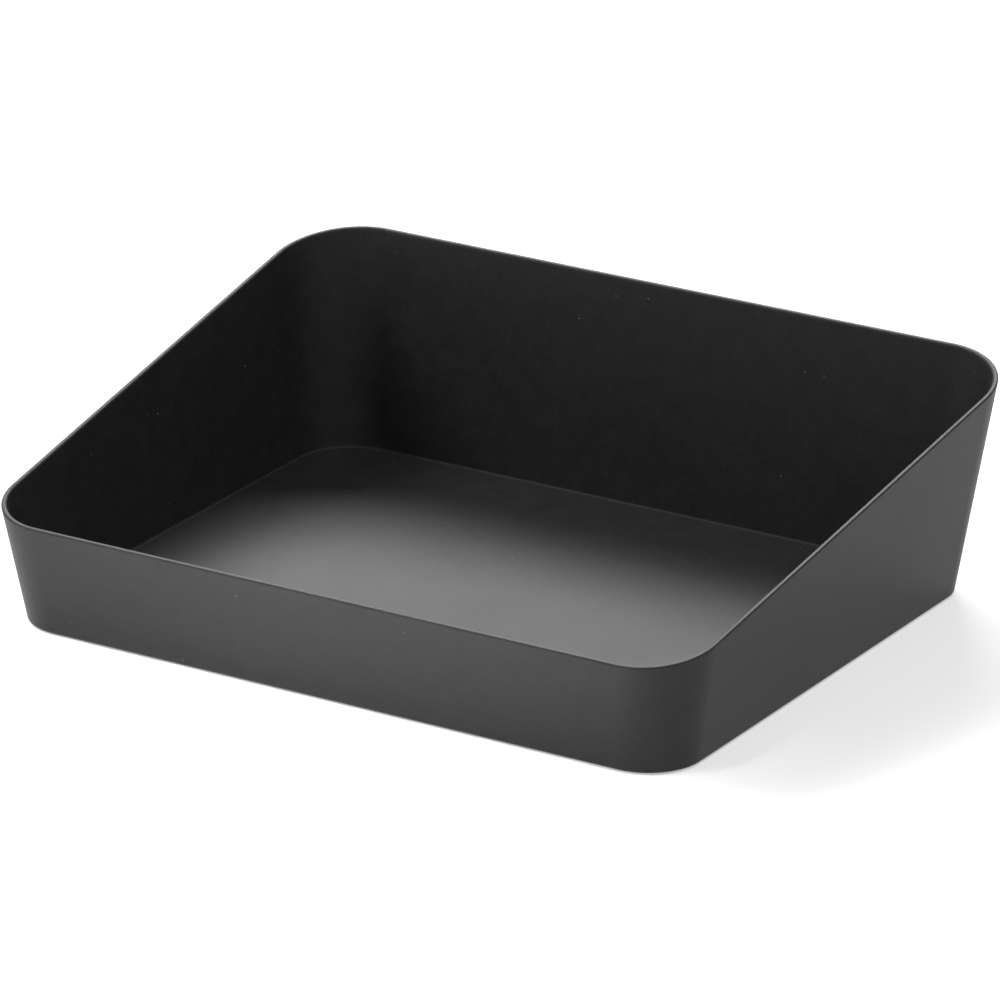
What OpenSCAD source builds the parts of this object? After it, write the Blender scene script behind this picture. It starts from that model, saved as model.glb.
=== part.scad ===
// Open tray with a low front, a high back and straight sloping side rims, moulded in one piece
// and standing on four anti-slip pads.
// Millimetres. +X is to the right, +Y is to the back, +Z is up.
// The origin is on the resting surface, under the middle of the tray's outline.

/* [Base] */
// Width of the base across the outside of the side walls
base_w = 300; // [270:5:330]
// Depth of the base from the front wall to the back wall
base_d = 235; // [205:5:265]

/* [Walls] */
// Height of the front rim above the underside of the base
front_h = 45.5; // [35:0.5:55]
// Height of the back rim above the underside of the base
back_h = 93; // [80:0.5:105]
// Lean of the four walls, in degrees from upright
draft = 9.7; // [4:0.1:12]
// Thickness of the walls
wall_t = 2.2; // [1.8:0.1:3]
// Thickness of the floor
floor_t = 2.6; // [2.3:0.1:3.5]

/* [Corners] */
// Radius of the two front corners where they meet the base
front_corner_r = 22.5; // [18:0.5:28]
// Radius of the two back corners where they meet the base
back_corner_r = 18; // [16:0.5:28]
// Radius that a front corner gains for each millimetre of height
front_flare = 0.1; // [0:0.005:0.15]
// Radius that a back corner gains for each millimetre of height
back_flare = 0.175; // [0:0.005:0.2]
// Radius of the floor's four corners, inside
floor_corner_r = 25.5; // [17:0.5:28]

/* [Edges] */
// Radius of the outer edge around the base
base_edge_r = 1.2; // [0.6:0.1:2]
// Radius inside, between the walls and the floor
floor_edge_r = 0.8; // [0.6:0.1:3]
// Radius of the rim's outer and inner edges
rim_edge_r = 0.8; // [0.3:0.1:0.8]

/* [Feet] */
// Diameter of an anti-slip pad
foot_dia = 16; // [12:1:20]
// Full thickness of a pad
foot_t = 1.3; // [1.2:0.1:2.2]
// Depth of the recess that a pad is stuck into
recess_depth = 0.8; // [0.5:0.1:1]
// Gap all round between a pad and its recess
recess_gap = 0.25; // [0.2:0.05:0.4]
// Distance of a pad's centre from the base's sides
foot_inset = 34; // [28:1:40]

/* [Hidden] */

shell_color = [0.13, 0.13, 0.13];
foot_color = [0.05, 0.05, 0.05];

corner_steps = 16;  // facets in each corner's quarter turn
edge_steps = 4;     // facets across each rounded edge
foot_bevel = 0.3;   // bevel around the lower face of a pad

lean = tan(draft);
// The rim lies in one plane that rises from the front wall's top to the back wall's top.
front_y = -(base_d / 2 + front_h * lean);
back_y = base_d / 2 + back_h * lean;
rim_slope = (back_h - front_h) / (back_y - front_y);
rim_mid_h = front_h - rim_slope * front_y;
// The base sits above the origin by what the pads stand proud, and the outline is centred on it.
foot_proud = foot_t - recess_depth;
centre_y = (front_y + back_y) / 2;

// A station is a closed ring around the wall:
// [distance inside the outer wall face, height at y = 0, rise of the ring's plane for each
// millimetre of y, corner radius, or 0 where the corner follows the outer face].
function quarter_turns() = [for (i = [0:edge_steps]) 90 * i / edge_steps];
base_edge = [for (a = quarter_turns())
    [base_edge_r * (1 - sin(a)), base_edge_r * (1 - cos(a)), 0, 0]];
rim_outer_edge = [for (a = quarter_turns())
    [rim_edge_r * (1 - cos(a)), rim_mid_h - rim_edge_r * (1 - sin(a)), rim_slope, 0]];
rim_inner_edge = [for (a = quarter_turns())
    [wall_t - rim_edge_r * (1 - sin(a)), rim_mid_h - rim_edge_r * (1 - cos(a)), rim_slope, 0]];
floor_edge = [for (a = quarter_turns())
    let (inward = floor_edge_r * (1 - cos(a)))
    [wall_t + inward, floor_t + floor_edge_r * (1 - sin(a)), 0, floor_corner_r - inward]];
stations = concat(base_edge, rim_outer_edge, rim_inner_edge, floor_edge);
ring_size = 4 * (corner_steps + 1);

// A point of a station. quarter counts the corners anticlockwise from the back right, and turn
// is the direction from that corner's centre. The walls lean, so y and z depend on each other:
// y = y0 + z * y1 on the corner, and z = height + slope * y in the ring's plane.
function wall_point(station, quarter, turn) =
    let (
        inset = station[0],
        x_side = (quarter == 0 || quarter == 3) ? 1 : -1,
        y_side = (quarter < 2) ? 1 : -1,
        own_radius = station[3] > 0,
        base_radius = own_radius ? station[3] + inset : y_side > 0 ? back_corner_r : front_corner_r,
        flare = own_radius ? 0 : y_side > 0 ? back_flare : front_flare,
        y0 = y_side * (base_d / 2 - base_radius) + (base_radius - inset) * sin(turn),
        y1 = y_side * (lean - flare) + flare * sin(turn),
        z = (station[1] + station[2] * y0) / (1 - station[2] * y1),
        radius = base_radius + flare * z,
        x = x_side * (base_w / 2 + lean * z - radius) + (radius - inset) * cos(turn)
    )
    [x, y0 + z * y1, z];

function station_ring(station) =
    [for (quarter = [0:3], i = [0:corner_steps])
        wall_point(station, quarter, 90 * (quarter + i / corner_steps))];

module walls_and_floor() {
    rings = len(stations);
    points = [for (station = stations) each station_ring(station)];
    underside = [for (i = [0:ring_size - 1]) i];
    floor_top = [for (i = [ring_size - 1:-1:0]) (rings - 1) * ring_size + i];
    bands = [for (r = [0:rings - 2], i = [0:ring_size - 1])
        let (
            next = (i + 1) % ring_size,
            low = r * ring_size,
            high = low + ring_size
        )
        each [[low + i, high + i, high + next], [low + i, high + next, low + next]]];
    polyhedron(points = points, faces = concat([underside], bands, [floor_top]), convexity = 6);
}

module at_foot(x_side, y_side) {
    translate([x_side * (base_w / 2 - foot_inset), y_side * (base_d / 2 - foot_inset) - centre_y, 0])
        children();
}

module foot_recess() {
    cylinder(h = foot_t, d = foot_dia + 2 * recess_gap, $fn = 64);
}

module tray_shell() {
    color(shell_color)
        difference() {
            translate([0, -centre_y, foot_proud])
                walls_and_floor();
            for (x_side = [-1, 1], y_side = [-1, 1])
                at_foot(x_side, y_side) foot_recess();
        }
}

module foot(x_side, y_side) {
    color(foot_color)
        at_foot(x_side, y_side)
            rotate_extrude($fn = 64)
                polygon([
                    [0, 0],
                    [foot_dia / 2 - foot_bevel, 0],
                    [foot_dia / 2, foot_bevel],
                    [foot_dia / 2, foot_t],
                    [0, foot_t]
                ]);
}

module foot_front_left() { foot(-1, -1); }
module foot_front_right() { foot(1, -1); }
module foot_back_left() { foot(-1, 1); }
module foot_back_right() { foot(1, 1); }

tray_shell();
foot_front_left();
foot_front_right();
foot_back_left();
foot_back_right();
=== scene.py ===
import math

import bmesh
import bpy
from mathutils import Matrix, Vector


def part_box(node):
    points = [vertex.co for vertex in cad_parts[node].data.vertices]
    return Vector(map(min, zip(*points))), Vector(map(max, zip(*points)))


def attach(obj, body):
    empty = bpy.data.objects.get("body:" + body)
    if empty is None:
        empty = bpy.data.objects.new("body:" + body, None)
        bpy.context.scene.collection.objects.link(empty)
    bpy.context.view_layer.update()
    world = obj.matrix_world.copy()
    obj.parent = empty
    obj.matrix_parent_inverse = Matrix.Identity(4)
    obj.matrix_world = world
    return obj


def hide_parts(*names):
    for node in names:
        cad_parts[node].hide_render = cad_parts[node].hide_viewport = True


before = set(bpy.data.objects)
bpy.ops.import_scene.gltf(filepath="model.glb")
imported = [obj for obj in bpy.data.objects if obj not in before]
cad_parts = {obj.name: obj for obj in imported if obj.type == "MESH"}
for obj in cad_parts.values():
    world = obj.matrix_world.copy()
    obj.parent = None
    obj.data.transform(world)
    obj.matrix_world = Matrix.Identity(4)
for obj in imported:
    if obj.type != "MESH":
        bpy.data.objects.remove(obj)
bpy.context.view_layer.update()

# ---------------------------------------------------------------- sizes, in metres
BASE_W = 0.300
BASE_D = 0.235
FRONT_H = 0.0455
BACK_H = 0.093
LEAN = math.tan(math.radians(9.7))
WALL_T = 0.0022
FLOOR_T = 0.0026
FRONT_CORNER_R = 0.0225
BACK_CORNER_R = 0.018
FRONT_FLARE = 0.1
BACK_FLARE = 0.175
FLOOR_CORNER_R = 0.0255
BASE_EDGE_R = 0.0012
FLOOR_EDGE_R = 0.0008
RIM_EDGE_R = 0.0008
RECESS_R = 0.00825
RECESS_DEPTH = 0.0008
RECESS_BEVEL = 0.0002
FOOT_NODES = ["foot_front_left", "foot_front_right", "foot_back_left", "foot_back_right"]

# The rim lies in one plane, from the front wall's top to the back wall's top.
FRONT_Y = -(BASE_D / 2 + FRONT_H * LEAN)
BACK_Y = BASE_D / 2 + BACK_H * LEAN
RIM_SLOPE = (BACK_H - FRONT_H) / (BACK_Y - FRONT_Y)
RIM_MID_H = FRONT_H - RIM_SLOPE * FRONT_Y
CENTRE_Y = (FRONT_Y + BACK_Y) / 2
BASE_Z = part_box("tray_shell")[0].z

CORNER_STEPS = 40
WALL_STEPS = 24
EDGE_STEPS = 8
RECESS_STEPS = 96
WALL_CUTS = [0.01, 0.25, 0.5, 0.75, 0.99]        # rings across a wall, as shares of its height
FLOOR_CUTS = [0.995, 0.8, 0.6, 0.4, 0.2]         # rings on the floor, as shares of its size
SHARP_ANGLE = math.radians(40)


# ---------------------------------------------------------------- the tray's mesh
def wall_point(station, x_side, y_side, turn):
    """A point of a station: a closed ring (inset, height at y = 0, slope, own corner radius)."""
    inset, height, slope, own_radius = station
    back = y_side > 0
    if own_radius:
        base_radius, flare = own_radius + inset, 0.0
    else:
        base_radius = BACK_CORNER_R if back else FRONT_CORNER_R
        flare = BACK_FLARE if back else FRONT_FLARE
    y0 = y_side * (BASE_D / 2 - base_radius) + (base_radius - inset) * math.sin(turn)
    y1 = y_side * (LEAN - flare) + flare * math.sin(turn)
    z = (height + slope * y0) / (1 - slope * y1)
    radius = base_radius + flare * z
    x = x_side * (BASE_W / 2 + LEAN * z - radius) + (radius - inset) * math.cos(turn)
    return Vector((x, y0 + z * y1 - CENTRE_Y, z + BASE_Z))


def station_ring(station):
    """The station's points, anticlockwise from the back right corner, with the walls cut up."""
    corners = [(1, 1), (-1, 1), (-1, -1), (1, -1)]
    ring = []
    for quarter, (x_side, y_side) in enumerate(corners):
        arc = [
            wall_point(station, x_side, y_side, math.radians(90 * (quarter + i / CORNER_STEPS)))
            for i in range(CORNER_STEPS + 1)
        ]
        next_side = corners[(quarter + 1) % 4]
        start = wall_point(station, *next_side, math.radians(90 * (quarter + 1)))
        straight = [arc[-1].lerp(start, i / WALL_STEPS) for i in range(1, WALL_STEPS)]
        ring += arc + straight
    return ring


def quarter_turns():
    return [math.radians(90 * i / EDGE_STEPS) for i in range(EDGE_STEPS + 1)]


def base_edge():
    return [(BASE_EDGE_R * (1 - math.sin(a)), BASE_EDGE_R * (1 - math.cos(a)), 0, 0)
            for a in quarter_turns()]


def rim_edges():
    """The rim's outer edge, then its inner one."""
    outer = [(RIM_EDGE_R * (1 - math.cos(a)), RIM_MID_H - RIM_EDGE_R * (1 - math.sin(a)), RIM_SLOPE, 0)
             for a in quarter_turns()]
    inner = [(WALL_T - station[0], station[1], RIM_SLOPE, 0) for station in reversed(outer)]
    return outer + inner


def floor_edge():
    stations = []
    for a in quarter_turns():
        inward = FLOOR_EDGE_R * (1 - math.cos(a))
        height = FLOOR_T + FLOOR_EDGE_R * (1 - math.sin(a))
        stations.append((WALL_T + inward, height, 0, FLOOR_CORNER_R - inward))
    return stations


def rings_across(low, high):
    """Rings between two others, for the wall that joins them."""
    return [[a.lerp(b, t) for a, b in zip(low, high)] for t in WALL_CUTS]


def tray_rings():
    """Rings from the underside's edge, up the outside, over the rim and down to and over the floor."""
    edges = (base_edge(), rim_edges(), floor_edge())
    base, rim, corner = ([station_ring(station) for station in edge] for edge in edges)
    outside = rings_across(base[-1], rim[0])
    inside = rings_across(rim[-1], corner[0])
    middle = sum(corner[-1], Vector()) / len(corner[-1])
    flat = [[middle.lerp(p, share) for p in corner[-1]] for share in FLOOR_CUTS]
    return base + outside + rim + inside + corner + flat


def join_rings(bm, rings):
    for low, high in zip(rings, rings[1:]):
        for i in range(len(low)):
            j = (i + 1) % len(low)
            bm.faces.new((low[i], low[j], high[j], high[i]))


def close_ring(bm, ring, middle):
    centre = bm.verts.new(middle)
    for i in range(len(ring)):
        bm.faces.new((ring[i], ring[(i + 1) % len(ring)], centre))


def loop_edges(bm, ring):
    pairs = zip(ring, ring[1:] + ring[:1])
    return [bm.edges.get(pair) or bm.edges.new(pair) for pair in pairs]


def circle(bm, centre, radius, z):
    turns = [2 * math.pi * i / RECESS_STEPS for i in range(RECESS_STEPS)]
    return [
        bm.verts.new((centre.x + radius * math.cos(turn), centre.y + radius * math.sin(turn), z))
        for turn in turns
    ]


def cut_recess(bm, foot):
    """The round recess that a pad is stuck into. Returns the edges of its mouth."""
    low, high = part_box(foot)
    centre = (low + high) / 2
    mouth = circle(bm, centre, RECESS_R + RECESS_BEVEL, BASE_Z)
    lip = circle(bm, centre, RECESS_R, BASE_Z + RECESS_BEVEL)
    top = circle(bm, centre, RECESS_R, BASE_Z + RECESS_DEPTH)
    join_rings(bm, [mouth, lip, top])
    close_ring(bm, top, (centre.x, centre.y, BASE_Z + RECESS_DEPTH))
    return loop_edges(bm, mouth)


def new_object(name, bm):
    mesh = bpy.data.meshes.new(name)
    bm.to_mesh(mesh)
    bm.free()
    obj = bpy.data.objects.new(name, mesh)
    bpy.context.scene.collection.objects.link(obj)
    return obj


def make_tray():
    bm = bmesh.new()
    points = tray_rings()
    rings = [[bm.verts.new(p) for p in ring] for ring in points]
    join_rings(bm, rings)
    close_ring(bm, rings[-1], sum(points[-1], Vector()) / len(points[-1]))
    underside = loop_edges(bm, rings[0])
    for foot in FOOT_NODES:
        underside += cut_recess(bm, foot)
    bmesh.ops.triangle_fill(bm, edges=underside, use_beauty=True, normal=(0, 0, -1))
    bmesh.ops.recalc_face_normals(bm, faces=bm.faces)
    for face in bm.faces:
        face.smooth = True
    for edge in bm.edges:
        edge.smooth = edge.calc_face_angle(0) < SHARP_ANGLE
    obj = new_object("tray_body", bm)
    obj.modifiers.new("even_shading", "WEIGHTED_NORMAL").keep_sharp = True
    return obj


# ---------------------------------------------------------------- materials
SPAN_SOCKETS = ("From Min", "From Max", "To Min", "To Max")


class Finish:
    """A Principled material and short ways to add procedural detail to it, in metres on the object."""

    def __init__(self, name, color, roughness):
        self.material = bpy.data.materials.new(name)
        self.material.use_nodes = True
        self.tree = self.material.node_tree
        self.shader = self.tree.nodes["Principled BSDF"]
        self.shader.inputs["Base Color"].default_value = (*color, 1)
        self.shader.inputs["Roughness"].default_value = roughness
        coordinates = self.add("ShaderNodeTexCoord")
        self.place = coordinates.outputs["Object"]
        self.facing = coordinates.outputs["Normal"]

    def add(self, kind, **settings):
        node = self.tree.nodes.new(kind)
        for key, value in settings.items():
            setattr(node, key, value)
        return node

    def feed(self, value, socket):
        if isinstance(value, bpy.types.NodeSocket):
            self.tree.links.new(value, socket)
        else:
            socket.default_value = value

    def math(self, operation, a, b=0.0):
        node = self.add("ShaderNodeMath", operation=operation)
        self.feed(a, node.inputs[0])
        self.feed(b, node.inputs[1])
        return node.outputs[0]

    def noise(self, feature, detail=2.0, place=None):
        """Smooth noise around 0.5, whose blobs are about the feature's size across."""
        node = self.add("ShaderNodeTexNoise")
        node.inputs["Scale"].default_value = 1 / feature
        node.inputs["Detail"].default_value = detail
        self.feed(place or self.place, node.inputs["Vector"])
        return node.outputs["Fac"]

    def span(self, value, low, high, to_low=0.0, to_high=1.0):
        """The value's part between low and high, spread over to_low ... to_high."""
        node = self.add("ShaderNodeMapRange")
        self.feed(value, node.inputs["Value"])
        for socket, number in zip(SPAN_SOCKETS, (low, high, to_low, to_high)):
            node.inputs[socket].default_value = number
        return node.outputs["Result"]

    def specks(self, spacing, radius, share):
        """Small round dots, scattered: 1 in the middle of a dot and 0 outside."""
        node = self.add("ShaderNodeTexVoronoi")
        node.inputs["Scale"].default_value = 1 / spacing
        self.feed(self.place, node.inputs["Vector"])
        dot = self.span(node.outputs["Distance"], 0.5 * radius / spacing, radius / spacing, 1, 0)
        channels = self.add("ShaderNodeSeparateColor")
        self.feed(node.outputs["Color"], channels.inputs[0])
        return self.math("MULTIPLY", dot, self.math("LESS_THAN", channels.outputs[0], share))

    def streaks(self, direction, length, width, share):
        """Thin faint lines along one direction, sparse where share is small."""
        mapping = self.add("ShaderNodeMapping")
        turn = Vector(direction).to_track_quat("X", "Z").inverted()
        mapping.inputs["Rotation"].default_value = turn.to_euler()
        mapping.inputs["Scale"].default_value = (width / length, 1, 1)
        self.feed(self.place, mapping.inputs["Vector"])
        lines = self.noise(width, 0, mapping.outputs["Vector"])
        return self.span(lines, 1 - share, 1 - share + 0.04)

    def bump(self, height, depth, under=None):
        node = self.add("ShaderNodeBump")
        node.inputs["Distance"].default_value = depth
        self.feed(height, node.inputs["Height"])
        if under:
            self.feed(under, node.inputs["Normal"])
        return node.outputs["Normal"]

    def tint(self, share, color, other):
        """Mixes the other colour in by the share."""
        node = self.add("ShaderNodeMix", data_type="RGBA")
        self.feed(share, node.inputs["Factor"])
        self.feed((*color, 1), node.inputs["A"])
        self.feed((*other, 1), node.inputs["B"])
        self.feed(node.outputs["Result"], self.shader.inputs["Base Color"])


BLACK = (0.0054, 0.0054, 0.0054)
DUST = (0.16, 0.155, 0.145)
RUBBER = (0.012, 0.012, 0.012)
WORN_RUBBER = (0.05, 0.048, 0.045)
DULL_SPECULAR = 0.3
PLASTIC_ROUGHNESS = 0.5
FINE_GRAIN = 0.00035      # how far apart the plastic's blobs are
COARSE_GRAIN = 0.0012
MOTTLE = 0.007
SMUDGE = 0.055
FLAT_DULLNESS = 0.07      # how much rougher the rim and the floor are than the walls
EDGE_DULLNESS = 0.25      # the same for the rounded edges beside them
PALE = (0.5, 0.5, 0.5)
GLOW_NEAR = 0.41          # strength of the stage floor's own light near the tray
GLOW_FAR = 0.86
GLOW_REACH = (0.7, 2)     # distances from the tray between which it changes


def plastic_material():
    """Matt black moulded plastic: fine spark-eroded grain, faint handling marks, a little dust."""
    finish = Finish("matt_black_plastic", BLACK, PLASTIC_ROUGHNESS)
    finish.shader.inputs["Specular IOR Level"].default_value = DULL_SPECULAR
    fine = finish.noise(FINE_GRAIN, 3)
    coarse = finish.noise(COARSE_GRAIN, 2)
    mottle = finish.noise(MOTTLE, 3)
    smudge = finish.noise(SMUDGE, 4)
    dust = finish.specks(0.0075, 0.00035, 0.3)
    scratch = finish.math("MULTIPLY", finish.streaks((0.8, 0.55, 0.2), 0.05, 0.0004, 0.2),
                          finish.span(finish.noise(0.03, 1), 0.55, 0.65))

    # The faces that look up, the rim and the floor, are a little duller than the walls, and the
    # rounded edges beside them, which polish doesn't reach, are duller still.
    split = finish.add("ShaderNodeSeparateXYZ")
    finish.feed(finish.facing, split.inputs[0])
    edges = finish.span(split.outputs["Z"], 0.3, 0.5, 0, EDGE_DULLNESS)
    flats = finish.span(split.outputs["Z"], 0.85, 0.98, 0, EDGE_DULLNESS - FLAT_DULLNESS)
    dull = finish.math("SUBTRACT", edges, flats)

    roughness = finish.span(mottle, 0.3, 0.7, PLASTIC_ROUGHNESS - 0.01, PLASTIC_ROUGHNESS + 0.01)
    roughness = finish.math("ADD", roughness, finish.span(smudge, 0.35, 0.65, -0.012, 0.012))
    roughness = finish.math("ADD", roughness, dull)
    roughness = finish.math("ADD", roughness, finish.math("MULTIPLY", dust, 0.3))
    roughness = finish.math("ADD", roughness, finish.math("MULTIPLY", scratch, 0.06))
    finish.feed(roughness, finish.shader.inputs["Roughness"])

    marks = finish.math("MAXIMUM", dust, finish.math("MULTIPLY", scratch, 0.06))
    grain = finish.math("ADD", finish.span(coarse, 0.3, 0.7, 0, 0.03),
                        finish.span(mottle, 0.3, 0.7, 0, 0.022))
    finish.tint(finish.math("ADD", marks, grain), BLACK, DUST)
    normal = finish.bump(coarse, 0.00001)
    normal = finish.bump(fine, 0.000008, normal)
    finish.feed(normal, finish.shader.inputs["Normal"])
    return finish.material


def rubber_material():
    """Dull dark rubber: a pebbled surface with dust caught in it."""
    finish = Finish("pad_rubber", RUBBER, 0.8)
    finish.shader.inputs["Specular IOR Level"].default_value = DULL_SPECULAR
    pebbles = finish.noise(0.0006, 3)
    worn = finish.noise(0.003, 4)
    finish.feed(finish.span(worn, 0.3, 0.7, 0.7, 0.88), finish.shader.inputs["Roughness"])
    finish.tint(finish.span(worn, 0.5, 0.75, 0, 0.3), RUBBER, WORN_RUBBER)
    finish.feed(finish.bump(pebbles, 0.00005), finish.shader.inputs["Normal"])
    return finish.material


def floor_material():
    """Pale floor, lit from inside as a light table is, and more so far away, as a backdrop."""
    finish = Finish("pale_floor", PALE, 0.9)
    finish.shader.inputs["Specular IOR Level"].default_value = 0.1
    away = finish.add("ShaderNodeVectorMath", operation="LENGTH")
    finish.feed(finish.place, away.inputs[0])
    glow = finish.span(away.outputs["Value"], *GLOW_REACH, GLOW_NEAR, GLOW_FAR)
    finish.feed(glow, finish.shader.inputs["Emission Strength"])
    return finish.material


# ---------------------------------------------------------------- the object
tray = make_tray()
tray.data.materials.append(plastic_material())
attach(tray, "root")
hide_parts("tray_shell")

rubber = rubber_material()
for name in FOOT_NODES:
    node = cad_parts[name]
    if not node.material_slots:
        node.data.materials.append(rubber)
    for slot in node.material_slots:
        slot.link = "OBJECT"
        slot.material = rubber

# ---------------------------------------------------------------- the stage
bpy.ops.mesh.primitive_plane_add(size=40, location=(0, 0, 0))
stage_floor = bpy.context.object
stage_floor.name = "stage_floor"
stage_floor.data.materials.append(floor_material())

# ---------------------------------------------------------------- light
SOFTBOX_DISTANCE = 1.5
SKY_HORIZON = 1.05        # strength of the sky along the horizon, white like the floor
SKY_ABOVE = 0.34          # strength of the rest of it
SKY_BAND = (0.04, 0.1)    # heights, as the sine of the elevation, between which it fades


def make_world():
    world = bpy.data.worlds.new("studio")
    bpy.context.scene.world = world
    world.use_nodes = True
    tree = world.node_tree
    backdrop = tree.nodes["Background"]
    backdrop.inputs["Color"].default_value = (1, 1, 1, 1)
    way = tree.nodes.new("ShaderNodeTexCoord")
    height = tree.nodes.new("ShaderNodeSeparateXYZ")
    fade = tree.nodes.new("ShaderNodeMapRange")
    for socket, number in zip(SPAN_SOCKETS, (*SKY_BAND, SKY_HORIZON, SKY_ABOVE)):
        fade.inputs[socket].default_value = number
    tree.links.new(way.outputs["Generated"], height.inputs[0])
    tree.links.new(height.outputs["Z"], fade.inputs["Value"])
    tree.links.new(fade.outputs["Result"], backdrop.inputs["Strength"])


def softbox(name, size, distance, azimuth, elevation, power, target=(0, 0, 0.04)):
    """A soft area light, placed by direction as seen from the tray: azimuth 0 is behind it."""
    light = bpy.data.lights.new(name, "AREA")
    light.shape = "RECTANGLE"
    light.size, light.size_y = size
    light.energy = power
    obj = bpy.data.objects.new(name, light)
    a, e = math.radians(azimuth), math.radians(elevation)
    way = Vector((math.sin(a) * math.cos(e), math.cos(a) * math.cos(e), math.sin(e)))
    obj.location = Vector(target) + way * distance
    obj.rotation_euler = way.to_track_quat("Z", "Y").to_euler()
    bpy.context.scene.collection.objects.link(obj)
    return obj


make_world()
softbox("softbox_back", (0.85, 0.5), SOFTBOX_DISTANCE, 326, 40, 26.5)
softbox("softbox_left", (0.6, 0.5), SOFTBOX_DISTANCE, 250, 42, 15.5)
softbox("softbox_right", (0.6, 0.5), SOFTBOX_DISTANCE, 95, 62, 12.3)
# A small light close above the floor in front of the tray lights the front wall from below.
floor_glow = softbox("softbox_floor", (0.3, 0.2), 0.5, 180, 84, 2.4, (-0.03, -0.32, 0))
floor_glow.data.spread = math.radians(45)

# ---------------------------------------------------------------- camera
VIEW_AZIMUTH = 31.59      # degrees to the right of straight on
VIEW_ELEVATION = 21.01
VIEW_ROLL = 0.1
VIEW_DISTANCE = 2.886
VIEW_TARGET = Vector((0.0044, -0.0047, 0.045))
LENS = 266.5


def make_camera():
    a, e = math.radians(VIEW_AZIMUTH), math.radians(VIEW_ELEVATION)
    back = Vector((math.sin(a) * math.cos(e), -math.cos(a) * math.cos(e), math.sin(e)))
    right = Vector((math.cos(a), math.sin(a), 0))
    up = back.cross(right)
    roll = math.radians(VIEW_ROLL)
    across = right * math.cos(roll) + up * math.sin(roll)
    upward = up * math.cos(roll) - right * math.sin(roll)
    data = bpy.data.cameras.new("camera")
    data.lens = LENS
    data.sensor_width = 36
    data.clip_start, data.clip_end = 0.1, 100
    cam = bpy.data.objects.new("camera", data)
    turn = Matrix((across, upward, back)).transposed()
    cam.matrix_world = Matrix.Translation(VIEW_TARGET + back * VIEW_DISTANCE) @ turn.to_4x4()
    bpy.context.scene.collection.objects.link(cam)
    bpy.context.scene.camera = cam


make_camera()
bpy.context.scene.view_settings.view_transform = "Standard"

bpy.context.view_layer.update()
